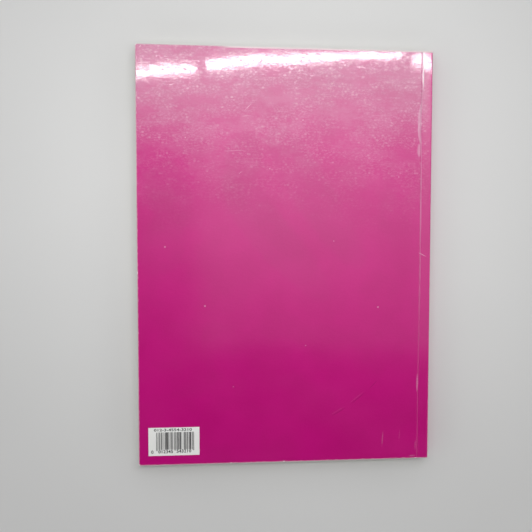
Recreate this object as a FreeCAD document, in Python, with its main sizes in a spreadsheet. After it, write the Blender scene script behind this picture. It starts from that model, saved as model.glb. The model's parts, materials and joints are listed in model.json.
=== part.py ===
import FreeCAD, Part
import os
import Sketcher

# A large thin paperback book, closed, lying on its front cover with the back cover up.
# +X points at the spine, +Y at the head and +Z up. The origin is under the middle of the book.

SIZES = (
    ("book_width", 210.0, "fore-edge to the outside of the spine"),
    ("book_height", 295.0, "tail to head"),
    ("leaf_stack", 9.3, "thickness of all the leaves, pressed together"),
    ("cover_card", 0.35, "thickness of the laminated cover card"),
    ("glue_back", 0.6, "binding glue between the leaves and the spine panel"),
    ("hinge_strip", 8.0, "outside of the spine to the middle of a score line"),
    ("score_gap", 0.4, "width of the pressed line, free of card, that the cover folds on"),
    ("score_shoulder", 0.15, "slope pressed into the card beside the line"),
    ("spine_radius", 0.7, "outside of the cover where it turns round the spine's edges"),
    ("barcode_fore_margin", 6.8, "fore-edge to the white field"),
    ("barcode_tail_margin", 6.8, "tail to the white field"),
    ("ink_layer", 0.05, "thickness of each printed layer"),
    ("bar_unit", 0.28, "width of the thinnest bar"),
    ("bar_length", 12.5, "length of an ordinary bar"),
    ("guard_extra", 0.8, "how much further down the guard bars reach"),
    ("bars_left_margin", 5.5, "left side of the white field to the first bar"),
    ("bars_right_margin", 3.9, "last bar to the right side of the white field"),
    ("bars_head_margin", 3.4, "top of the white field to the bars"),
    ("bars_foot_margin", 3.5, "foot of the guard bars to the foot of the white field"),
)

# Runs of empty and inked units that stand for the plain figures 0 to 5.
FIGURE_RUNS = ((3, 2, 1, 1), (2, 2, 2, 1), (2, 1, 2, 2), (1, 4, 1, 1), (1, 1, 3, 2), (1, 2, 3, 1))
END_GUARD = (0, 1, 1, 1)
MIDDLE_GUARD = (1, 1, 1, 1, 1)

# A coordinate smaller than this lies on an axis, and points closer than this are one point.
ON_AXIS = 1e-9
SAME_PLACE = 1e-6

doc = FreeCAD.newDocument("PaperbackBook")


def make_sheet():
    """The driving dimensions, one named cell each."""
    sheet = doc.addObject("Spreadsheet::Sheet", "Sizes")
    for row, (alias, value, note) in enumerate(SIZES, start=1):
        sheet.set(f"A{row}", note)
        sheet.set(f"B{row}", str(value))
        sheet.setAlias(f"B{row}", alias)
    doc.recompute()
    return sheet


sheet = make_sheet()


def named(expression):
    """An expression with the sheet's name put before each of its sizes."""
    words = expression.split()
    aliases = {alias for alias, value, note in SIZES}
    return " ".join(f"Sizes.{word}" if word in aliases else word for word in words)


def value_of(expression):
    """The number that an expression of sizes gives."""
    return float(sheet.evalExpression(named(expression)))


# Lines of the book that several pieces share, as expressions of the sizes.
SPINE_OUTSIDE = "book_width / 2"
FORE_EDGE = "- book_width / 2"
SPINE_INSIDE = f"{SPINE_OUTSIDE} - cover_card"
LEAF_BACK = f"{SPINE_INSIDE} - glue_back"
SCORE_LINE = f"{SPINE_OUTSIDE} - hinge_strip"
STRIP_SIDE = f"{SCORE_LINE} + score_gap / 2"
PANEL_SIDE = f"{SCORE_LINE} - score_gap / 2"
HEAD = "book_height / 2"
TAIL = "- book_height / 2"
BLOCK_TOP = "cover_card + leaf_stack"
BOOK_TOP = "2 * cover_card + leaf_stack"


def bind(thing, property_name, expression):
    """Ties one property of a feature to an expression of the sizes."""
    thing.setExpression(property_name, named(expression))


def make_body(name):
    body = doc.addObject("PartDesign::Body", name)
    body.Label = name
    return body


def plane_of(body, role):
    for feature in body.Origin.OriginFeatures:
        if feature.Role == role:
            return feature
    raise ValueError(role)


def outline(body, role, corners):
    """A closed sketch with straight sides, each corner held at expressions of the sizes."""
    sketch = body.newObject("Sketcher::SketchObject", f"{body.Name}_outline")
    sketch.AttachmentSupport = [(plane_of(body, role), "")]
    sketch.MapMode = "FlatFace"
    points = [FreeCAD.Vector(value_of(across), value_of(up), 0) for across, up in corners]
    count = len(points)
    for start in range(count):
        sketch.addGeometry(Part.LineSegment(points[start], points[(start + 1) % count]), False)
    for start in range(count):
        sketch.addConstraint(Sketcher.Constraint("Coincident", start, 2, (start + 1) % count, 1))
    for index, (point, expressions) in enumerate(zip(points, corners)):
        for kind, place, expression in zip(("DistanceX", "DistanceY"), (point.x, point.y), expressions):
            if abs(place) < ON_AXIS:
                axis = -2 if kind == "DistanceX" else -1
                sketch.addConstraint(Sketcher.Constraint("PointOnObject", index, 1, axis))
                continue
            ends = (-1, 1, index, 1) if place > 0 else (index, 1, -1, 1)
            number = sketch.addConstraint(Sketcher.Constraint(kind, *ends, abs(place)))
            name = f"{kind}_{index}"
            sketch.renameConstraint(number, name)
            signed = expression if place > 0 else f"- ( {expression} )"
            bind(sketch, f"Constraints.{name}", signed)
    doc.recompute()
    return sketch


def pad(body, sketch, length, both_ways=False):
    feature = body.newObject("PartDesign::Pad", f"{body.Name}_pad")
    feature.Profile = sketch
    feature.Midplane = both_ways
    bind(feature, "Length", length)
    doc.recompute()
    return feature


def long_edges(shape, x, z):
    """Names of the edges along Y that lie at this x and z."""
    names = []
    for number, edge in enumerate(shape.Edges, start=1):
        ends = [vertex.Point for vertex in edge.Vertexes]
        if all(abs(end.x - x) < SAME_PLACE and abs(end.z - z) < SAME_PLACE for end in ends):
            names.append(f"Edge{number}")
    return names


def dress(body, kind, base, places, size_property, size):
    """A fillet or chamfer on the edges along Y at the given places."""
    feature = body.newObject(f"PartDesign::{kind}", f"{body.Name}_{kind.lower()}_{len(body.Group)}")
    edges = []
    for x, z in places:
        edges.extend(long_edges(base.Shape, value_of(x), value_of(z)))
    feature.Base = (base, edges)
    bind(feature, size_property, size)
    doc.recompute()
    return feature


def make_box(name, low, high):
    """A plain block between two corners given as expressions of the sizes."""
    box = doc.addObject("Part::Box", name)
    box.Label = name
    for side, axis, start, end in zip(("Length", "Width", "Height"), "xyz", low, high):
        bind(box, side, f"( {end} ) - ( {start} )")
        bind(box, f"Placement.Base.{axis}", start)
    return box


def make_page_block():
    """Every leaf of the book as one trimmed block."""
    return make_box("page_block", (FORE_EDGE, TAIL, "cover_card"), (LEAF_BACK, HEAD, BLOCK_TOP))


def make_spine_glue():
    """The layer of glue between the back of the leaves and the spine panel."""
    return make_box("spine_glue", (LEAF_BACK, TAIL, "cover_card"), (SPINE_INSIDE, HEAD, BLOCK_TOP))


def make_cover_spine():
    """The middle of the folded cover: the spine panel and the two strips glued to the leaves."""
    body = make_body("cover_spine")
    corners = (
        (STRIP_SIDE, "0"),
        (SPINE_OUTSIDE, "0"),
        (SPINE_OUTSIDE, BOOK_TOP),
        (STRIP_SIDE, BOOK_TOP),
        (STRIP_SIDE, BLOCK_TOP),
        (SPINE_INSIDE, BLOCK_TOP),
        (SPINE_INSIDE, "cover_card"),
        (STRIP_SIDE, "cover_card"),
    )
    channel = pad(body, outline(body, "XZ_Plane", corners), "book_height", both_ways=True)
    outside = ((SPINE_OUTSIDE, "0"), (SPINE_OUTSIDE, BOOK_TOP))
    turned = dress(body, "Fillet", channel, outside, "Radius", "spine_radius")
    scored = ((STRIP_SIDE, "0"), (STRIP_SIDE, BOOK_TOP))
    dress(body, "Chamfer", turned, scored, "Size", "score_shoulder")
    return body


def make_cover(name, low, high, outer):
    """A flat cover from the fore-edge to its score line, between two heights; outer is its outside."""
    body = make_body(name)
    corners = ((FORE_EDGE, low), (PANEL_SIDE, low), (PANEL_SIDE, high), (FORE_EDGE, high))
    card = pad(body, outline(body, "XZ_Plane", corners), "book_height", both_ways=True)
    dress(body, "Chamfer", card, ((PANEL_SIDE, outer),), "Size", "score_shoulder")
    return body


def bar_runs():
    """Each bar of the code as its first unit, its width in units and whether it is a guard, and all units."""
    groups = [(END_GUARD, False, True)]
    groups += [(runs, False, False) for runs in FIGURE_RUNS]
    groups += [(MIDDLE_GUARD, False, True)]
    groups += [(runs, True, False) for runs in reversed(FIGURE_RUNS)]
    groups += [(END_GUARD, False, True)]
    bars = []
    unit = 0
    for runs, inked, guard in groups:
        for run in runs:
            if inked:
                bars.append((unit, run, guard))
            unit += run
            inked = not inked
    return bars, unit


BARS, CODE_UNITS = bar_runs()
BARS_LEFT = f"{FORE_EDGE} + barcode_fore_margin + bars_left_margin"
BARS_FOOT = f"{TAIL} + barcode_tail_margin + bars_foot_margin"
BARS_HEAD = f"{BARS_FOOT} + guard_extra + bar_length"
FIELD_TOP = f"{BOOK_TOP} + ink_layer"


def make_barcode_panel():
    """The white printed field near the fore-edge and the tail of the back cover."""
    low = (f"{BARS_LEFT} - bars_left_margin", f"{BARS_FOOT} - bars_foot_margin", BOOK_TOP)
    right = f"{BARS_LEFT} + bar_unit * {CODE_UNITS} + bars_right_margin"
    return make_box("barcode_panel", low, (right, f"{BARS_HEAD} + bars_head_margin", FIELD_TOP))


def make_barcode_bars():
    """The black bars, one printed layer on the white field."""
    pieces = []
    for number, (unit, run, guard) in enumerate(BARS):
        left = f"{BARS_LEFT} + bar_unit * {unit}"
        foot = BARS_FOOT if guard else f"{BARS_FOOT} + guard_extra"
        high = (f"{left} + bar_unit * {run}", BARS_HEAD, f"{FIELD_TOP} + ink_layer")
        pieces.append(make_box(f"bar_{number:02d}", (left, foot, FIELD_TOP), high))
    bars = doc.addObject("Part::Compound", "barcode_bars")
    bars.Label = "barcode_bars"
    bars.Links = pieces
    return bars


nodes = (
    make_page_block(),
    make_spine_glue(),
    make_cover_spine(),
    make_cover("front_cover", "0", "cover_card", outer="0"),
    make_cover("back_cover", BLOCK_TOP, BOOK_TOP, outer=BOOK_TOP),
    make_barcode_panel(),
    make_barcode_bars(),
)
doc.recompute()

for thing in doc.Objects:
    if "Invalid" in thing.State or "Error" in thing.State:
        raise RuntimeError(f"{thing.Label} did not build: {thing.State}")
for node in nodes:
    if node.Shape.isNull() or not node.Shape.isValid() or not node.Shape.Solids:
        raise RuntimeError(f"{node.Label} has no sound shape")

os.makedirs("parts", exist_ok=True)
for node in nodes:
    box = node.Shape.BoundBox
    node.Shape.exportStep(f"parts/{node.Label}.step")
    print(f"{node.Label}: {len(node.Shape.Solids)} solids, {node.Shape.Volume:.1f} mm3,",
          f"x {box.XMin:.2f} to {box.XMax:.2f}, y {box.YMin:.2f} to {box.YMax:.2f},",
          f"z {box.ZMin:.2f} to {box.ZMax:.2f}")
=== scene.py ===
import json
import math
import random

import bpy
import numpy as np
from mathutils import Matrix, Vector


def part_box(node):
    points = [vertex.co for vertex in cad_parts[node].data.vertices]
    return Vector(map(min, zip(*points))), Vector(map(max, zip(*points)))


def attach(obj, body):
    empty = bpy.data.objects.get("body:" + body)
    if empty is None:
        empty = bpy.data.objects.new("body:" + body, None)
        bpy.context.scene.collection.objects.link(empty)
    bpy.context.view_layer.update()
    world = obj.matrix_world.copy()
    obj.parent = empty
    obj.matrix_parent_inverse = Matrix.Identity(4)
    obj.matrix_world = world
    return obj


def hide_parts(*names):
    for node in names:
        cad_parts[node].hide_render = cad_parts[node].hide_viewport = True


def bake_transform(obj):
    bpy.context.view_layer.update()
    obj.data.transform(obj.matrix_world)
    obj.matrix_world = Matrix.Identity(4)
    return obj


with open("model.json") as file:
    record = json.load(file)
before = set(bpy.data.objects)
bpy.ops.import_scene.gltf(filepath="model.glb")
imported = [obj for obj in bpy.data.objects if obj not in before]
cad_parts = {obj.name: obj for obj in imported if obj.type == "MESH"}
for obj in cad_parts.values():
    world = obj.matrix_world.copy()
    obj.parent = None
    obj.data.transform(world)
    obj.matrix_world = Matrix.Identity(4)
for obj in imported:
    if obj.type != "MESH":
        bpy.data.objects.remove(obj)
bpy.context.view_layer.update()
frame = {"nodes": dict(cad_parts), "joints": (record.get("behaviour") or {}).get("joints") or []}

MM = 0.001

# The book in millimetres, read from the frame.
PAGES_LOW, PAGES_HIGH = (tuple(v / MM for v in corner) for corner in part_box("page_block"))
COVER_LOW, COVER_HIGH = (tuple(v / MM for v in corner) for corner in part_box("back_cover"))
SPINE_LOW, SPINE_HIGH = (tuple(v / MM for v in corner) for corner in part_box("cover_spine"))
FORE_EDGE = COVER_LOW[0]
TAIL, HEAD = COVER_LOW[1], COVER_HIGH[1]
SPINE_OUT = SPINE_HIGH[0]
TOP = SPINE_HIGH[2]
MIDDLE = (SPINE_LOW[2] + SPINE_HIGH[2]) / 2
CARD = COVER_HIGH[2] - COVER_LOW[2]
SCORE = frame["joints"][0]["pos_m"][0] / MM
CORNER_RADIUS = 0.9
CORNER_START = SPINE_OUT - CORNER_RADIUS
COVER_CORNER, LEAF_CORNER = 0.7, 0.9
# Stations next to a trimmed edge of the cover, where the film is pressed down.
RIM = (0.0, 0.12, 0.3, 0.6, 1.1, 1.8)


# Camera: the photograph's own viewing angle, set up before anything else is made.
camera = bpy.data.cameras.new("photo_camera")
camera.sensor_width = 36.0
camera.lens = 38.571
camera_object = bpy.data.objects.new("photo_camera", camera)
camera_object.location = (-0.0444, 0.0122, 0.41356)
camera_object.rotation_euler = tuple(math.radians(a) for a in (-2.543, -4.219, 0.033))
bpy.context.scene.collection.objects.link(camera_object)
bpy.context.scene.camera = camera_object


def smooth_step(value, start, end):
    """0 at start and 1 at end, easing in and out between them."""
    t = np.clip((np.asarray(value, float) - start) / (end - start), 0.0, 1.0)
    return t * t * (3.0 - 2.0 * t)


# Mesh helpers. Pieces are worked out in millimetres and stored in metres.
def new_piece(name, points, faces, materials, slots, smooth_below=None, uv=None):
    """A mesh object from points, faces and each face's material slot; uv is one pair for each point."""
    mesh = bpy.data.meshes.new(name)
    mesh.from_pydata([tuple(c * MM for c in p) for p in points], [], faces)
    for made in materials:
        mesh.materials.append(made)
    mesh.polygons.foreach_set("material_index", slots)
    if uv is not None:
        layer = mesh.uv_layers.new(name="sheet")
        pairs = np.asarray(uv, float) * MM
        corners = np.empty(len(mesh.loops), int)
        mesh.loops.foreach_get("vertex_index", corners)
        layer.data.foreach_set("uv", pairs[corners].ravel())
    if smooth_below is not None:
        mesh.polygons.foreach_set("use_smooth", [True] * len(mesh.polygons))
        mesh.set_sharp_from_angle(angle=math.radians(smooth_below))
    mesh.validate()
    piece = bpy.data.objects.new(name, mesh)
    bpy.context.scene.collection.objects.link(piece)
    return piece


def spread(start, end, step):
    """Even stations from start to end, both included, about a step apart."""
    count = max(1, round((end - start) / step))
    return [start + (end - start) * i / count for i in range(count + 1)]


def rounded(x, y, radius):
    """Moves a point of a cover or leaf into the round corner at the fore-edge."""
    cx = FORE_EDGE + radius
    for side in (-1.0, 1.0):
        cy = side * (HEAD - radius)
        dx, dy = cx - x, side * (y - cy)
        if dx > 0.0 and dy > 0.0:
            reach = max(dx, dy)
            length = math.hypot(dx, dy)
            return cx - dx * reach / length, cy + side * dy * reach / length
    return x, y


# Node helpers.
def feed(tree, socket, value):
    if isinstance(value, bpy.types.NodeSocket):
        tree.links.new(value, socket)
    else:
        socket.default_value = value


def add(tree, kind, feeds=None, out=0, **settings):
    """A node with its settings and inputs; gives one of its outputs."""
    made = tree.nodes.new(f"ShaderNode{kind}")
    for key, value in settings.items():
        setattr(made, key, value)
    for key, value in (feeds or {}).items():
        feed(tree, made.inputs[key], value)
    return made.outputs[out] if made.outputs else None


def calc(tree, operation, *values):
    return add(tree, "Math", dict(enumerate(values)), operation=operation)


def times(tree, first, second):
    return calc(tree, "MULTIPLY", first, second)


def plus(tree, first, second):
    return calc(tree, "ADD", first, second)


def fade(tree, value, start, end, low=0.0, high=1.0):
    """low where the value is at start and high where it is at end."""
    feeds = {"Value": value, "From Min": start, "From Max": end, "To Min": low, "To Max": high}
    return add(tree, "MapRange", feeds, interpolation_type="SMOOTHSTEP")


def noise(tree, place, scale, detail=2.0, rough=0.5, stretch=None):
    if stretch is not None:
        place = add(tree, "VectorMath", {0: place, 1: stretch}, operation="MULTIPLY")
    feeds = {"Vector": place, "Scale": scale, "Detail": detail, "Roughness": rough}
    return add(tree, "TexNoise", feeds)


def spot(tree, place, x, y, length, width, turn=0.0):
    """1 in the middle of an ellipse and 0 outside it; its half sizes and place are in millimetres."""
    feeds = {
        "Vector": place,
        "Location": (x * MM, y * MM, 0.0),
        "Rotation": (0.0, 0.0, math.radians(turn)),
        "Scale": (length * MM, width * MM, 1.0),
    }
    local = add(tree, "Mapping", feeds, vector_type="TEXTURE")
    return add(tree, "TexGradient", {"Vector": local}, out="Fac", gradient_type="SPHERICAL")


def mixed(tree, factor, first, second):
    return add(tree, "Mix", {0: factor, 6: first, 7: second}, out=2, data_type="RGBA")


def bump(tree, height, distance, normal=None):
    feeds = {"Height": height, "Distance": distance, "Strength": 1.0}
    if normal is not None:
        feeds["Normal"] = normal
    return add(tree, "Bump", feeds)


def largest(tree, values):
    total = values[0]
    for value in values[1:]:
        total = calc(tree, "MAXIMUM", total, value)
    return total


def new_material(name):
    made = bpy.data.materials.new(name)
    made.use_nodes = True
    made.node_tree.nodes.clear()
    return made, made.node_tree


def close_material(tree, **sockets):
    """Ends a material in one Principled shader; socket names are written with underscores."""
    feeds = {name.replace("_", " "): value for name, value in sockets.items()}
    shader = add(tree, "BsdfPrincipled", feeds)
    add(tree, "OutputMaterial", {"Surface": shader})


# Unrolled cover: u is x on the back cover and runs on round the spine to the front cover.
U_MIDDLE = CORNER_START + CORNER_RADIUS * math.pi / 2 + (TOP - CORNER_RADIUS - MIDDLE)

# Scratches and rubs on the back cover, and a few painted highlights: x, y, half length, half width (mm),
# turn (deg), how pale.
MARKS = (
    (-27.3, 105.8, 4.2, 0.45, 45, 0.55),
    (-36.9, 75.3, 9.5, 0.45, 3, 0.30),
    (-28.8, 99.6, 4.7, 0.5, 5, 0.35),
    (-17.9, 92.0, 5.5, 0.5, 6, 0.28),
    (-32.7, 60.1, 2.5, 0.5, 38, 0.35),
    (98.8, 2.3, 4.4, 0.4, -26, 0.7),
    # Partly whitened film and partly a painted highlight: the streak along the crease.
    (96.3, -91.4, 9.0, 1.1, 89, 0.38),
    (70.8, -132.5, 8.0, 0.5, 86, 0.24),
    (83.4, -130.0, 6.0, 0.45, 86, 0.12),
    # Painted highlight: the lit sides of two of the pressed lines below.
    (37.4, -110.9, 8.5, 0.35, 30, 0.10),
    (51.4, -101.4, 9.0, 0.35, 38, 0.12),
    (50.5, 99.5, 9.0, 0.5, 12, 0.12),
    (66.0, 101.5, 8.0, 0.5, 3, 0.16),
    (79.0, 100.5, 5.5, 0.5, -14, 0.12),
    (95.4, -137.5, 5.5, 0.8, 88, 0.13),
    (93.1, -145.6, 3.4, 0.9, 4, 0.22),
    (-101.6, 145.9, 1.6, 0.35, 48, 0.8),
)
# Pressed lines, painted darker as their shaded side: x, y, half length, half width (mm), turn (deg).
DENT_SHADES = ((38.5, -111.8, 8.0, 0.4, 30), (52.5, -102.2, 9.5, 0.4, 38), (63.5, -92.5, 6.0, 0.4, 46))
# Specks: x, y, half size (mm).
SPECKS = (
    (-85.6, 7.8, 0.8), (-57.9, -34.0, 0.9), (66.6, -35.7, 0.8), (11.5, 97.3, 0.7), (-12.0, 63.0, 0.55),
    (34.0, 12.0, 0.5), (-71.0, 84.0, 0.6), (81.0, 58.0, 0.5), (-38.0, -92.0, 0.5), (14.0, -63.0, 0.55),
)
# Chips of the trimmed edges: x, y, half length, half width (mm).
CHIPS = (
    (-1.5, -147.5, 1.2, 1.1), (-39.7, -147.5, 1.0, 0.9), (95.5, -147.5, 1.4, 0.7),
    (-105.0, -10.4, 0.8, 1.6), (-105.0, 147.5, 1.4, 1.4), (-105.0, -147.5, 1.6, 1.6),
    (62.0, 147.5, 1.3, 0.6), (-20.0, 147.5, 1.0, 0.5),
)
# Where the film has lifted in a crease that strays from the scored line: its middle, how far from it the
# crease ends and is full, how far it strays and how high it stands (mm). The blister below it: x, y, half
# width, half length, height (mm).
CREASE_Y, CREASE_REACH, CREASE_FULL, CREASE_STRAY, CREASE_HIGH = 95.5, 19.0, 5.0, 1.5, 0.08
BLISTER = (95.7, 77.0, 1.6, 6.5, 0.07)


def crease_share(y):
    """0 away from the crease and 1 in its middle."""
    return float(smooth_step(abs(y - CREASE_Y), CREASE_REACH, CREASE_FULL))


def make_laminate():
    """Magenta card under a glossy film, with painted highlights, sheen and shade on the back cover."""
    made, tree = new_material("laminate")
    place = add(tree, "UVMap", uv_map="sheet")
    split = tree.nodes.new("ShaderNodeSeparateXYZ")
    feed(tree, split.inputs[0], place)
    u, v = split.outputs[0], split.outputs[1]
    folded = calc(tree, "MINIMUM", u, calc(tree, "SUBTRACT", 2 * U_MIDDLE * MM, u))
    to_fore = calc(tree, "SUBTRACT", folded, FORE_EDGE * MM)
    to_end = calc(tree, "SUBTRACT", HEAD * MM, calc(tree, "ABSOLUTE", v))
    to_edge = calc(tree, "MINIMUM", to_fore, to_end)

    soft = noise(tree, place, 28.0, 3.0, 0.55)
    grain = noise(tree, place, 900.0, 3.0, 0.6)
    broken = noise(tree, place, 1400.0, 2.0, 0.6)
    ink = mixed(tree, fade(tree, soft, 0.3, 0.7), (0.495, 0.0010, 0.174, 1.0), (0.54, 0.0016, 0.194, 1.0))
    ink = mixed(tree, fade(tree, grain, 0.35, 0.75, 0.0, 0.22), ink, (0.58, 0.005, 0.23, 1.0))

    # Card showing through where the trimmed edge is rubbed and chipped. The pale rim along the trimmed
    # edges and below the head is partly this wear and partly a painted highlight of the rolled edge.
    ragged = noise(tree, place, 260.0, 4.0, 0.65)
    rim_width = fade(tree, ragged, 0.42, 0.72, 0.3 * MM, 0.7 * MM)
    rim_rub_and_sheen = fade(tree, calc(tree, "SUBTRACT", to_edge, rim_width), 0.25 * MM, 0.0)
    near_head = fade(tree, v, (HEAD - 1.25) * MM, (HEAD - 0.9) * MM)
    head_rub_and_sheen = times(tree, near_head, fade(tree, u, -52 * MM, -38 * MM))
    chipped = []
    for x, y, long, wide in CHIPS:
        shape = plus(tree, spot(tree, place, x, y, long, wide), times(tree, broken, 0.35))
        chipped.append(fade(tree, shape, 0.42, 0.52))
    bare_and_rim_sheen = largest(tree, [times(tree, rim_rub_and_sheen, 0.42), times(tree, head_rub_and_sheen, 0.95)] + chipped)

    # Whitened film along the score and over its blisters, paler towards the head, where part of it is a
    # painted highlight; glare is a painted flare of the lamp along the score at the head.
    from_crease = calc(tree, "ABSOLUTE", calc(tree, "SUBTRACT", v, CREASE_Y * MM))
    crease = fade(tree, from_crease, CREASE_REACH * MM, CREASE_FULL * MM)
    strays = times(tree, crease, -CREASE_STRAY * MM)
    strays = plus(tree, strays, fade(tree, v, 112 * MM, 122 * MM, 0.0, 0.8 * MM))
    strays = plus(tree, strays, fade(tree, v, -20 * MM, -110 * MM, 0.35 * MM, -0.1 * MM))
    off_score = calc(tree, "SUBTRACT", calc(tree, "SUBTRACT", folded, SCORE * MM), strays)
    off_score = calc(tree, "ABSOLUTE", off_score)
    line_noise = noise(tree, place, 130.0, 3.0, 0.6, stretch=(1.0, 0.35, 1.0))
    line_width = fade(tree, line_noise, 0.3, 0.7, 0.1 * MM, 0.35 * MM)
    line_width = plus(tree, line_width, times(tree, crease, 0.95 * MM))
    line = fade(tree, calc(tree, "SUBTRACT", off_score, line_width), 0.35 * MM, 0.0)
    # Paleness of the line: whitened film, plus a painted highlight that grows towards the head and flares
    # at 119 to 124 mm.
    line_pale_and_highlight = plus(tree, fade(tree, v, -110 * MM, 45 * MM, 0.03, 0.40), times(tree, crease, 0.46))
    line_pale_and_highlight = plus(tree, line_pale_and_highlight, fade(tree, v, 119 * MM, 124 * MM, 0.0, 0.5))
    line_pale_and_highlight = times(tree, line_pale_and_highlight, fade(tree, line_noise, 0.3, 0.6, 0.6, 1.1))
    # Painted flare: a near-white highlight along the score at the head.
    glare = times(tree, fade(tree, off_score, 0.6 * MM, 0.3 * MM), fade(tree, v, 120 * MM, 124 * MM))
    glare = times(tree, glare, fade(tree, line_noise, 0.32, 0.48, 0.3, 1.0))
    line = times(tree, line, line_pale_and_highlight)
    x, y, wide, long = BLISTER[:4]
    # Blister: whitened film with a painted highlight over it.
    puffed = fade(tree, spot(tree, place, x, y, wide * 1.1, long), 0.1, 0.5, 0.0, 0.52)
    whitened_and_highlight = largest(tree, [line, puffed])

    # Small dull scuffs of the film, in loose groups, with painted glints on them that grow towards the
    # head, and a painted sheen of soft haze and pale patches towards the head of the back cover.
    scuffs = fade(tree, noise(tree, place, 820.0, 4.0, 0.75, stretch=(0.6, 1.0, 1.0)), 0.46, 0.64)
    groups = fade(tree, noise(tree, place, 75.0, 4.0, 0.65, stretch=(0.5, 1.0, 1.0)), 0.38, 0.60, 0.15, 1.0)
    cells = tree.nodes.new("ShaderNodeTexVoronoi")
    cells.inputs["Scale"].default_value = 560.0
    squeezed = add(tree, "VectorMath", {0: place, 1: (0.75, 1.0, 1.0)}, operation="MULTIPLY")
    feed(tree, cells.inputs["Vector"], squeezed)
    chosen = fade(tree, cells.outputs["Color"], 0.45, 0.95)
    dots = times(tree, fade(tree, cells.outputs["Distance"], 0.62, 0.2), chosen)
    scuffs = calc(tree, "MAXIMUM", times(tree, scuffs, 0.6), dots)
    scuffs = times(tree, scuffs, groups)
    scuffs = times(tree, scuffs, fade(tree, u, 98 * MM, 105 * MM, 1.0, 0.25))
    # Painted highlight: pale glints on the scuffs, stronger towards the head.
    scuff_glints = times(tree, scuffs, fade(tree, v, 5 * MM, 115 * MM, 0.0, 0.42))
    # Painted reflection: a grey-pink sheen growing towards the head.
    haze_sheen = fade(tree, v, 70 * MM, 132 * MM, 0.0, 0.40)
    haze_sheen = times(tree, haze_sheen, fade(tree, groups, 0.0, 1.0, 0.7, 1.0))
    # Painted reflection: pale patches in the sheen towards the head.
    sheen_patches = fade(tree, noise(tree, place, 42.0, 4.0, 0.7, stretch=(0.6, 1.0, 1.0)), 0.44, 0.60)
    sheen_patches = times(tree, sheen_patches, fade(tree, v, 20 * MM, 105 * MM, 0.0, 0.15))
    only_back = fade(tree, u, 98 * MM, 105 * MM, 1.0, 0.0)
    haze_sheen = times(tree, haze_sheen, only_back)
    sheen_patches = times(tree, sheen_patches, only_back)

    # Scratches, broken up along their length, some rows painted highlights, small specks and the painted
    # shade of pressed lines.
    breaks = fade(tree, broken, 0.3, 0.6, 0.3, 1.0)
    scratches_and_glints = []
    for x, y, long, wide, turn, pale in MARKS:
        shape = times(tree, spot(tree, place, x, y, long, wide, turn), breaks)
        scratches_and_glints.append(fade(tree, shape, 0.12, 0.5, 0.0, pale))
    for x, y, size in SPECKS:
        scratches_and_glints.append(fade(tree, spot(tree, place, x, y, size, size), 0.1, 0.6, 0.0, 0.75))
    scratches_and_glints = largest(tree, scratches_and_glints)
    # Painted shade along the pressed lines.
    dent_shade = largest(tree, [fade(tree, spot(tree, place, *dent), 0.1, 0.6, 0.0, 0.45) for dent in DENT_SHADES])

    # Colour layers: painted shade in the pressed lines, whitened film with a painted highlight, a painted
    # flare, a painted sheen and haze, painted glints on the scuffs, scratches, and bare card with a painted
    # rim highlight.
    colour = mixed(tree, dent_shade, ink, (0.24, 0.0005, 0.08, 1.0))
    colour = mixed(tree, whitened_and_highlight, colour, (0.66, 0.30, 0.46, 1.0))
    colour = mixed(tree, glare, colour, (0.88, 0.76, 0.82, 1.0))
    colour = mixed(tree, sheen_patches, colour, (0.66, 0.30, 0.45, 1.0))
    colour = mixed(tree, haze_sheen, colour, (0.42, 0.22, 0.29, 1.0))
    colour = mixed(tree, scuff_glints, colour, (0.74, 0.44, 0.57, 1.0))
    colour = mixed(tree, scratches_and_glints, colour, (0.72, 0.38, 0.53, 1.0))
    colour = mixed(tree, bare_and_rim_sheen, colour, (0.78, 0.66, 0.69, 1.0))

    # The film's texture: soft waves drawn out along x, fibres, small folds at the hinge and grain.
    drawn = noise(tree, place, 330.0, 4.0, 0.6, stretch=(0.45, 1.0, 1.0))
    fibres = fade(tree, noise(tree, place, 620.0, 3.0, 0.6, stretch=(0.4, 1.0, 1.0)), 0.56, 0.74)
    crumple = times(tree, noise(tree, place, 560.0, 4.0, 0.7), fade(tree, folded, 83 * MM, 91 * MM))
    surface = bump(tree, soft, 30e-6)
    surface = bump(tree, drawn, 13e-6, surface)
    surface = bump(tree, fibres, 9e-6, surface)
    surface = bump(tree, crumple, 11e-6, surface)
    surface = bump(tree, grain, 2.5e-6, surface)
    surface = bump(tree, calc(tree, "MAXIMUM", scratches_and_glints, bare_and_rim_sheen), -12e-6, surface)
    mottled = noise(tree, place, 480.0, 4.0, 0.75, stretch=(0.6, 1.0, 1.0))
    under = bump(tree, mottled, 90e-6, surface)
    rough = fade(tree, noise(tree, place, 38.0, 2.0, 0.5, stretch=(0.5, 1.0, 1.0)), 0.25, 0.75, 0.31, 0.39)
    rough = plus(tree, rough, times(tree, calc(tree, "MAXIMUM", scratches_and_glints, bare_and_rim_sheen), 0.25))
    coat = fade(tree, bare_and_rim_sheen, 0.2, 0.6, 1.0, 0.1)
    coat_rough = calc(tree, "MULTIPLY_ADD", scuffs, 0.14, 0.03)
    close_material(tree, Base_Color=colour, Roughness=rough, IOR=1.5, Normal=under,
                   Coat_Weight=coat, Coat_Roughness=coat_rough, Coat_IOR=1.5, Coat_Normal=surface)
    return made


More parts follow.
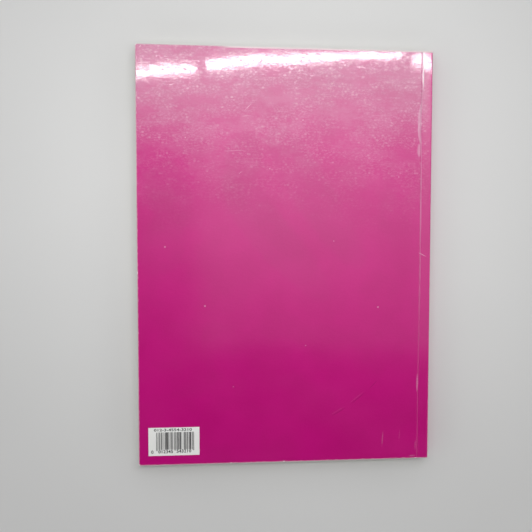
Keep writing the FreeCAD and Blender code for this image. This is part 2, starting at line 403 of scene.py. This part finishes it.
def make_card(name, pale, dark, grain_scale):
    """Uncoated card, for the cover's inside and its cut edges."""
    made, tree = new_material(name)
    place = add(tree, "UVMap", uv_map="sheet")
    fibre = noise(tree, place, grain_scale, 4.0, 0.65, stretch=(0.5, 1.0, 1.0))
    cloud = noise(tree, place, 22.0, 4.0, 0.6)
    colour = mixed(tree, fade(tree, cloud, 0.1, 0.9), dark, pale)
    colour = mixed(tree, fade(tree, fibre, 0.5, 0.8, 0.0, 0.25), colour, (0.62, 0.60, 0.55, 1.0))
    surface = bump(tree, fibre, 12e-6)
    surface = bump(tree, cloud, 35e-6, surface)
    rough = fade(tree, fibre, 0.3, 0.7, 0.72, 0.86)
    close_material(tree, Base_Color=colour, Roughness=rough, IOR=1.45, Normal=surface)
    return made


def object_place(tree):
    return add(tree, "TexCoord", out="Object")


def make_leaf_faces():
    """Uncoated book paper."""
    made, tree = new_material("leaf_faces")
    place = object_place(tree)
    fibre = noise(tree, place, 1500.0, 4.0, 0.65)
    cloud = noise(tree, place, 18.0, 4.0, 0.6)
    colour = mixed(tree, fade(tree, cloud, 0.1, 0.9), (0.755, 0.73, 0.665, 1.0), (0.795, 0.775, 0.715, 1.0))
    colour = mixed(tree, fade(tree, fibre, 0.55, 0.8, 0.0, 0.2), colour, (0.66, 0.63, 0.56, 1.0))
    surface = bump(tree, fibre, 10e-6)
    surface = bump(tree, cloud, 60e-6, surface)
    rough = fade(tree, fibre, 0.3, 0.7, 0.8, 0.92)
    close_material(tree, Base_Color=colour, Roughness=rough, IOR=1.45, Normal=surface)
    return made


def make_leaf_edges():
    """Trimmed edges of the leaves: each leaf a little different, with fine cutting marks."""
    made, tree = new_material("leaf_edges")
    place = object_place(tree)
    leaf = noise(tree, place, 1.0, 2.0, 0.7, stretch=(12.0, 9.0, 11000.0))
    bands = noise(tree, place, 1.0, 3.0, 0.6, stretch=(9.0, 7.0, 1300.0))
    cuts = noise(tree, place, 1.0, 3.0, 0.7, stretch=(1800.0, 1800.0, 120.0))
    colour = mixed(tree, fade(tree, leaf, 0.32, 0.58), (0.47, 0.44, 0.37, 1.0), (0.88, 0.86, 0.81, 1.0))
    colour = mixed(tree, fade(tree, bands, 0.4, 0.7, 0.0, 0.5), colour, (0.70, 0.655, 0.56, 1.0))
    colour = mixed(tree, fade(tree, cuts, 0.5, 0.8, 0.0, 0.3), colour, (0.56, 0.52, 0.44, 1.0))
    surface = bump(tree, cuts, 25e-6)
    surface = bump(tree, leaf, 20e-6, surface)
    rough = fade(tree, cuts, 0.3, 0.7, 0.82, 0.94)
    close_material(tree, Base_Color=colour, Roughness=rough, IOR=1.45, Normal=surface)
    return made


def make_glue():
    """Hot-melt glue: cream, slightly glossy, with an uneven surface."""
    made, tree = new_material("glue")
    place = object_place(tree)
    lumps = noise(tree, place, 420.0, 3.0, 0.6)
    cloud = noise(tree, place, 60.0, 3.0, 0.6)
    colour = mixed(tree, fade(tree, cloud, 0.3, 0.7), (0.66, 0.60, 0.43, 1.0), (0.77, 0.73, 0.60, 1.0))
    surface = bump(tree, lumps, 90e-6)
    rough = fade(tree, lumps, 0.3, 0.7, 0.36, 0.55)
    close_material(tree, Base_Color=colour, Roughness=rough, IOR=1.48, Normal=surface)
    return made


def make_print(name, light, dark, uneven):
    """Ink under the same film as the cover."""
    made, tree = new_material(name)
    place = object_place(tree)
    grain = noise(tree, place, 1600.0, 3.0, 0.6)
    cloud = noise(tree, place, 120.0, 3.0, 0.6)
    colour = mixed(tree, fade(tree, cloud, 0.3, 0.7), dark, light)
    colour = mixed(tree, fade(tree, grain, 0.5, 0.8, 0.0, uneven), colour, (0.55, 0.50, 0.52, 1.0))
    drawn = noise(tree, place, 330.0, 2.0, 0.5, stretch=(0.45, 1.0, 1.0))
    surface = bump(tree, drawn, 8e-6)
    surface = bump(tree, grain, 1.2e-6, surface)
    rough = fade(tree, cloud, 0.3, 0.7, 0.36, 0.44)
    close_material(tree, Base_Color=colour, Roughness=rough, IOR=1.5, Normal=surface,
                   Coat_Weight=1.0, Coat_Roughness=0.05, Coat_IOR=1.5, Coat_Normal=surface)
    return made


def make_floor_material():
    """Pale paint that runs out into the backdrop far from the book."""
    made, tree = new_material("floor_paint")
    place = object_place(tree)
    reach = add(tree, "VectorMath", {0: place}, out="Value", operation="LENGTH")
    cloud = noise(tree, place, 3.0, 3.0, 0.5)
    colour = mixed(tree, fade(tree, cloud, 0.3, 0.7), (0.70, 0.70, 0.695, 1.0), (0.73, 0.73, 0.725, 1.0))
    colour = mixed(tree, fade(tree, reach, 0.35, 1.5), colour, (0.0, 0.0, 0.0, 1.0))
    glow = fade(tree, reach, 0.2, 1.5, 0.0, 0.89)
    close_material(tree, Base_Color=colour, Roughness=0.95, Specular_IOR_Level=0.0,
                   Emission_Color=(1.0, 1.0, 1.0, 1.0), Emission_Strength=glow)
    return made


laminate = make_laminate()
card_inside = make_card("card_inside", (0.80, 0.79, 0.765, 1.0), (0.755, 0.745, 0.715, 1.0), 1300.0)
card_core = make_card("card_core", (0.78, 0.74, 0.72, 1.0), (0.70, 0.62, 0.62, 1.0), 2600.0)
leaf_faces = make_leaf_faces()
leaf_edges = make_leaf_edges()
glue = make_glue()
white_print = make_print("white_print", (0.93, 0.935, 0.915, 1.0), (0.90, 0.90, 0.88, 1.0), 0.05)
black_print = make_print("black_print", (0.03, 0.028, 0.03, 1.0), (0.016, 0.015, 0.017, 1.0), 0.12)


# The cover: one folded sheet of card in two halves that meet in the middle of the spine panel.
def lift(x, y):
    """How far the back cover stands up: slow waves, none at the hinge or under the barcode field."""
    wave = 0.5 + 0.5 * math.sin(x / 17.0 + 1.3 * math.sin(y / 41.0) + 0.6)
    wave *= 0.5 + 0.5 * math.sin(y / 23.0 + 0.8 * math.sin(x / 31.0))
    away_x = max(0.0, x - (FORE_EDGE + 45.0))
    away_y = max(0.0, y - (TAIL + 29.5))
    flat = smooth_step(math.hypot(away_x, away_y), 2.0, 26.0)
    return float(0.085 * wave * flat * smooth_step(x, 92.0, 80.0))


def score_depth(x):
    """Depth of the outside of the cover under its flat face, across the scored line and the hinge strip."""
    groove = 0.16 * math.exp(-(((x - SCORE) / 0.26) ** 2))
    ridge = 0.045 * math.exp(-(((x - SCORE - 0.85) / 0.32) ** 2))
    crown = 0.10 * max(0.0, (x - SCORE - 1.0) / 6.0) ** 2
    return groove - ridge + crown


def trim_roll(distance):
    """How far the film is pressed down at a trimmed edge."""
    return 0.10 * (1.0 - float(smooth_step(distance, 0.0, 0.35)))


def half_columns():
    """Stations across half of the cover: unrolled u, then x and depth on the outside and on the inside."""
    columns = []
    panel = [FORE_EDGE + d for d in RIM]
    panel += spread(FORE_EDGE + 2.8, SCORE - 3.6, 1.8)
    panel += spread(SCORE - 3.4, SCORE + 2.0, 0.18)
    panel += spread(SCORE + 2.5, CORNER_START, 0.6)
    for x in panel:
        columns.append((x, (x, score_depth(x)), (x, CARD)))
    start = score_depth(CORNER_START)
    inner_x = SPINE_OUT - CARD
    steps = 9
    for i in range(1, steps + 1):
        angle = math.pi / 2 * i / steps
        u = CORNER_START + CORNER_RADIUS * angle
        depth = start + (CORNER_RADIUS - start) * (1.0 - math.cos(angle))
        outer = (CORNER_START + CORNER_RADIUS * math.sin(angle), depth)
        share = i / steps
        if share <= 0.5:
            inner = (CORNER_START + (inner_x - CORNER_START) * share * 2, CARD)
        else:
            inner = (inner_x, CARD + (CORNER_RADIUS - CARD) * (share * 2 - 1))
        columns.append((u, outer, inner))
    for depth in spread(CORNER_RADIUS, TOP - MIDDLE, 0.5)[1:]:
        u = CORNER_START + CORNER_RADIUS * math.pi / 2 + depth - CORNER_RADIUS
        columns.append((u, (SPINE_OUT, depth), (inner_x, depth)))
    return columns


def half_rows():
    middle = spread(TAIL + 2.8, HEAD - 2.8, 2.0)
    return [TAIL + d for d in RIM] + middle + [HEAD - d for d in reversed(RIM)]


def make_half_cover(name, back):
    """One half of the cover sheet. The back half has the waves and blisters that the photograph shows."""
    columns = half_columns()
    rows = half_rows()
    points = []
    uv = []
    for layer in (0, 1):
        for u, outer, inner in columns:
            x, depth = (outer, inner)[layer]
            for y in rows:
                px, py = rounded(x, y, COVER_CORNER) if u < CORNER_START else (x, y)
                down = depth
                up = lift(x, y) if back and u < CORNER_START else 0.0
                if layer == 0:
                    edge = min(x - FORE_EDGE, HEAD - abs(y))
                    pressed = trim_roll(edge)
                    if u < CORNER_START:
                        down += pressed
                    if back and u < CORNER_START:
                        share = crease_share(y)
                        off = (x - SCORE + CREASE_STRAY * share) / 0.7
                        up += CREASE_HIGH * share * math.exp(-off * off)
                        bx, by, wide, long, height = BLISTER
                        up += height * max(0.0, 1.0 - ((x - bx) / wide) ** 2 - ((y - by) / long) ** 2) ** 2
                z = TOP - down + up
                points.append((px, py, z if back else TOP - z))
                uv.append((u if back else 2 * U_MIDDLE - u, y))
    across, along = len(columns), len(rows)
    inner_start = across * along
    faces = []
    slots = []

    def face(a, b, c, d, slot):
        faces.append((a, b, c, d) if back else (d, c, b, a))
        slots.append(slot)

    for i in range(across - 1):
        for j in range(along - 1):
            a = i * along + j
            face(a, a + along, a + along + 1, a + 1, 0)
            b = inner_start + a
            face(b, b + 1, b + along + 1, b + along, 2)
    for i in range(across - 1):
        a, b = i * along, (i + 1) * along
        face(a, a + inner_start, b + inner_start, b, 1)
        a, b = a + along - 1, b + along - 1
        face(a, b, b + inner_start, a + inner_start, 1)
    for j in range(along - 1):
        face(j, j + 1, j + 1 + inner_start, j + inner_start, 1)
        a = (across - 1) * along + j
        face(a, a + inner_start, a + 1 + inner_start, a + 1, 1)
    return new_piece(name, points, faces, [laminate, card_core, card_inside], slots, 50.0, uv)


back_half = make_half_cover("back_half_cover", True)
front_half = make_half_cover("front_half_cover", False)


# The leaves: a stack of thin sheets whose trimmed edges differ a little. The faces of an inner leaf reach
# in from its edges as far as LEAF_FLAP; the first and last leaf are whole.
LEAF_COUNT = 93
LEAF_FLAP = 3.5
LEAF_MOST_INSET = 0.3
LEAF_GAP = 0.01


def leaf_outline(step):
    """Stations round the tail, the fore-edge and the head of a leaf, from the spine back to the spine."""
    back_x = PAGES_HIGH[0]
    tail = [(x, TAIL) for x in spread(FORE_EDGE, back_x, step)[::-1]]
    fore = [(FORE_EDGE, y) for y in spread(TAIL, HEAD, step)[1:-1]]
    head = [(x, HEAD) for x in spread(FORE_EDGE, back_x, step)]
    extra = (0.5, 1.2, 2.2)
    corner_low = [(FORE_EDGE + d, TAIL) for d in reversed(extra)]
    corner_low_side = [(FORE_EDGE, TAIL + d) for d in extra]
    corner_high_side = [(FORE_EDGE, HEAD - d) for d in reversed(extra)]
    corner_high = [(FORE_EDGE + d, HEAD) for d in extra]
    return (tail[:-1] + corner_low + [tail[-1]] + corner_low_side + fore + corner_high_side
            + [head[0]] + corner_high + head[1:])


def make_leaves():
    chance = random.Random(47)
    low, high = PAGES_LOW[2] + LEAF_GAP, PAGES_HIGH[2] - LEAF_GAP
    pitch = (high - low) / LEAF_COUNT
    path = leaf_outline(6.0)
    points, faces, slots = [], [], []
    for leaf in range(1, LEAF_COUNT - 1):
        inset = abs(chance.gauss(0.05, 0.045)) + (0.12 if chance.random() < 0.06 else 0.0)
        inset = min(LEAF_MOST_INSET, inset)
        phase, slow = chance.uniform(0, 6.28), chance.uniform(0, 6.28)
        floor_z = low + leaf * pitch
        card = pitch * chance.uniform(0.80, 0.93)
        start = len(points)
        for k, (x, y) in enumerate(path):
            wander = 0.02 * math.sin(k * 0.31 + phase) + 0.025 * math.sin(k * 0.083 + slow)
            cut = max(0.0, inset + wander)
            side = (1.0 if x < FORE_EDGE + 2.5 else 0.0, 1.0 if abs(y) > HEAD - 2.5 else 0.0)
            px, py = rounded(x, y, LEAF_CORNER)
            ox = px + cut * side[0]
            oy = py - math.copysign(cut * side[1], y)
            ix = min(PAGES_HIGH[0], px + LEAF_FLAP * side[0])
            iy = py - math.copysign(LEAF_FLAP * side[1], y)
            rise = 0.008 * math.sin(k * 0.17 + slow)
            bottom, top = floor_z + rise * 0.5, floor_z + card + rise * 0.5
            points += [(ix, iy, top), (ox, oy, top), (ox, oy, bottom), (ix, iy, bottom)]
        for k in range(len(path) - 1):
            a, b = start + 4 * k, start + 4 * (k + 1)
            for s, slot in ((0, 0), (1, 1), (2, 0)):
                faces.append((a + s, a + s + 1, b + s + 1, b + s))
                slots.append(slot)
    for floor_z, card in ((low, pitch * 0.9), (high - pitch * 0.9, pitch * 0.9)):
        xs = [FORE_EDGE + d for d in (0.0, 0.6, 1.6)] + spread(FORE_EDGE + 3.2, PAGES_HIGH[0], 4.0)
        ys = [TAIL + d for d in (0.0, 0.6, 1.6)] + spread(TAIL + 3.2, HEAD - 3.2, 4.0)
        ys += [HEAD - d for d in (1.6, 0.6, 0.0)]
        start = len(points)
        for z in (floor_z, floor_z + card):
            for x in xs:
                for y in ys:
                    px, py = rounded(x, y, LEAF_CORNER)
                    points.append((px + (0.04 if x < FORE_EDGE + 0.3 else 0.0), py * 0.9997, z))
        along = len(ys)
        upper = len(xs) * along
        for i in range(len(xs) - 1):
            for j in range(along - 1):
                a = start + i * along + j
                faces.append((a, a + 1, a + along + 1, a + along))
                b = a + upper
                faces.append((b, b + along, b + along + 1, b + 1))
                slots += [0, 0]
        for i in range(len(xs) - 1):
            for j, turn in ((0, 1), (along - 1, -1)):
                a = start + i * along + j
                ring = (a, a + along, a + along + upper, a + upper)
                faces.append(ring[::turn])
                slots.append(1)
        for j in range(along - 1):
            a = start + j
            faces.append((a, a + upper, a + upper + 1, a + 1))
            slots.append(1)
    return new_piece("leaves", points, faces, [leaf_faces, leaf_edges], slots, 35.0)


leaves = make_leaves()


# Print on the white field: plain figures under the bars and a plain row above them.
PANEL_LOW, PANEL_HIGH = (tuple(v / MM for v in corner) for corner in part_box("barcode_panel"))
BARS_LOW, BARS_HIGH = (tuple(v / MM for v in corner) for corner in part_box("barcode_bars"))
# The width of the barcode's narrowest bar, and how far the figures stand off the field.
UNIT = 0.28
FIGURE_GAP = 0.02


def make_figures(name, text, left, right, foot, tall):
    """A row of plain figures between two x positions, as thin print on the white field."""
    curve = bpy.data.curves.new(name, "FONT")
    curve.body = text
    curve.size = 1.0
    curve.offset = 0.018
    curve.resolution_u = 3
    holder = bpy.data.objects.new(name + "_text", curve)
    bpy.context.scene.collection.objects.link(holder)
    bpy.context.view_layer.update()
    mesh = bpy.data.meshes.new_from_object(holder)
    bpy.data.objects.remove(holder)
    flat = np.empty(len(mesh.vertices) * 3)
    mesh.vertices.foreach_get("co", flat)
    flat = flat.reshape(-1, 3)
    low, high = flat.min(0), flat.max(0)
    flat[:, 0] = (left + (flat[:, 0] - low[0]) / (high[0] - low[0]) * (right - left)) * MM
    flat[:, 1] = (foot + (flat[:, 1] - low[1]) / (high[1] - low[1]) * tall) * MM
    flat[:, 2] = (PANEL_HIGH[2] + FIGURE_GAP) * MM
    mesh.vertices.foreach_set("co", flat.ravel())
    mesh.materials.clear()
    mesh.materials.append(black_print)
    mesh.update()
    piece = bpy.data.objects.new(name, mesh)
    bpy.context.scene.collection.objects.link(piece)
    return piece


first, foot, above = BARS_LOW[0], BARS_LOW[1], BARS_HIGH[1]
for name, text, left, right, low, tall in (
    ("figure_lead", "0", first - 3.6, first - 2.0, foot - 1.9, 2.3),
    ("figures_left", "012345", first + 5.0 * UNIT, first + 42.0 * UNIT, foot - 1.75, 2.3),
    ("figures_right", "543210", first + 51.0 * UNIT, first + 88.0 * UNIT, foot - 1.6, 2.3),
    ("figures_above", "012-3-4554-3210", first - 1.6, first + 90.0 * UNIT, above + 0.75, 1.9),
):
    piece = make_figures(name, text, left, right, low, tall)
    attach(piece, "back")

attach(leaves, "block")
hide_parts("page_block")

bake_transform(back_half)
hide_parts("back_cover", "cover_spine")
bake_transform(front_half)
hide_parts("front_cover", "cover_spine")

for node, finish in (("spine_glue", glue), ("barcode_panel", white_print), ("barcode_bars", black_print)):
    holder = frame["nodes"][node]
    for slot in holder.material_slots:
        slot.material = finish


# Floor, lamps and world, in metres.
FLOOR_HALF, FLOOR_Z = 5.0, -0.0001
floor_mesh = bpy.data.meshes.new("floor")
corners = [(x * FLOOR_HALF, y * FLOOR_HALF, FLOOR_Z) for x, y in ((-1, -1), (1, -1), (1, 1), (-1, 1))]
floor_mesh.from_pydata(corners, [], [(0, 1, 2, 3)])
floor_mesh.materials.append(make_floor_material())
floor = bpy.data.objects.new("floor", floor_mesh)
bpy.context.scene.collection.objects.link(floor)

LAMP_HEIGHT = 1.2


def strip_lamp(name, start, end, width, radiance):
    """A long lamp facing down, between two points over the book, in metres."""
    length = math.hypot(end[0] - start[0], end[1] - start[1])
    lamp = bpy.data.lights.new(name, "AREA")
    lamp.shape = "RECTANGLE"
    lamp.size = length
    lamp.size_y = width
    lamp.energy = radiance * math.pi * length * width
    holder = bpy.data.objects.new(name, lamp)
    holder.location = ((start[0] + end[0]) / 2, (start[1] + end[1]) / 2, LAMP_HEIGHT)
    holder.rotation_euler = (0.0, 0.0, math.atan2(end[1] - start[1], end[0] - start[0]))
    holder.visible_camera = False
    bpy.context.scene.collection.objects.link(holder)


for name, start, end, width, radiance in (
    ("strip_left", (-0.45, 0.450), (-0.119, 0.482), 0.024, 33.0),
    ("strip_near", (-0.090, 0.493), (0.028, 0.508), 0.025, 38.0),
    ("strip_right", (0.02, 0.509), (0.26, 0.517), 0.025, 33.0),
    ("strip_far", (0.26, 0.517), (0.46, 0.534), 0.012, 48.0),
    ("strip_end", (0.487, 0.520), (0.68, 0.524), 0.026, 42.0),
):
    strip_lamp(name, start, end, width, radiance)


def soft_panel(name, place, target, size, energy, spread_angle):
    """A broad lamp turned at a point of the book."""
    lamp = bpy.data.lights.new(name, "AREA")
    lamp.shape = "RECTANGLE"
    lamp.size, lamp.size_y = size
    lamp.energy = energy
    lamp.spread = math.radians(spread_angle)
    holder = bpy.data.objects.new(name, lamp)
    holder.location = place
    aim = Vector(target) - holder.location
    holder.rotation_euler = aim.to_track_quat("-Z", "Y").to_euler()
    holder.visible_camera = False
    bpy.context.scene.collection.objects.link(holder)
    return holder


soft_panel("head_panel", (-0.02, 0.52, 0.48), (0.0, -0.04, 0.0), (0.7, 0.22), 0.07, 80.0)
over_panel = soft_panel("over_panel", (0.0, 0.075, 0.24), (0.0, 0.075, 0.0), (0.28, 0.20), 0.345, 180.0)
over_panel.visible_glossy = False

# The world: a ring of light round the horizon and a broad one overhead, brighter towards the head of the
# book. Plain light is set apart from what the camera and reflections see, which is the pale backdrop.
OVERHEAD_LEVEL = 2.4
world = bpy.data.worlds.new("studio")
world.use_nodes = True
tree = world.node_tree
tree.nodes.clear()
direction = tree.nodes.new("ShaderNodeSeparateXYZ")
feed(tree, direction.inputs[0], add(tree, "TexCoord", out="Generated"))
along, up = direction.outputs[1], direction.outputs[2]
ring = times(tree, fade(tree, up, 0.86, 0.62), fade(tree, along, -0.6, 0.3, 0.05, 0.20))
ramp = tree.nodes.new("ShaderNodeValToRGB")
ramp.color_ramp.interpolation = "LINEAR"
stops = (
    (0.0, 0.0), (0.225, 0.0), (0.262, 0.04), (0.29, 0.155), (0.34, 0.165), (0.46, 0.21),
    (0.6, 0.27), (0.7, 0.46), (0.8, 0.78), (0.9, 1.05),
)
while len(ramp.color_ramp.elements) < len(stops):
    ramp.color_ramp.elements.new(0.5)
for element, (position, value) in zip(ramp.color_ramp.elements, stops):
    element.position = position
    element.color = (value, value, value, 1.0)
feed(tree, ramp.inputs[0], calc(tree, "MULTIPLY_ADD", along, 1.25, 0.5))
across = direction.outputs[0]
shade = times(tree, fade(tree, across, -0.01, -0.075), fade(tree, along, 0.22, 0.13, 0.0, 0.85))
overhead = times(tree, times(tree, ramp.outputs[0], OVERHEAD_LEVEL), fade(tree, up, 0.78, 0.90))
overhead = times(tree, overhead, calc(tree, "SUBTRACT", 1.0, shade))
bright_side = fade(tree, across, 0.318, 0.345, 1.0, 1.75)
overhead = times(tree, overhead, bright_side)
path = tree.nodes.new("ShaderNodeLightPath")
seen_by = ("Is Camera Ray", "Is Glossy Ray", "Is Transmission Ray")
seen = largest(tree, [path.outputs[name] for name in seen_by])
overhead = times(tree, overhead, calc(tree, "MULTIPLY_ADD", seen, 0.75, 0.25))
horizon = times(tree, fade(tree, up, 0.6, 0.25), calc(tree, "MULTIPLY_ADD", seen, -1.14, 2.00))
strength = plus(tree, calc(tree, "MAXIMUM", ring, horizon), overhead)
backdrop = times(tree, fade(tree, up, 0.80, 0.55, 0.0, 0.90), seen)
strength = calc(tree, "MAXIMUM", strength, backdrop)
background = add(tree, "Background", {"Color": (1.0, 1.0, 1.0, 1.0), "Strength": strength})
add(tree, "OutputWorld", {"Surface": background})
bpy.context.scene.world = world
bpy.context.scene.view_settings.view_transform = "Standard"
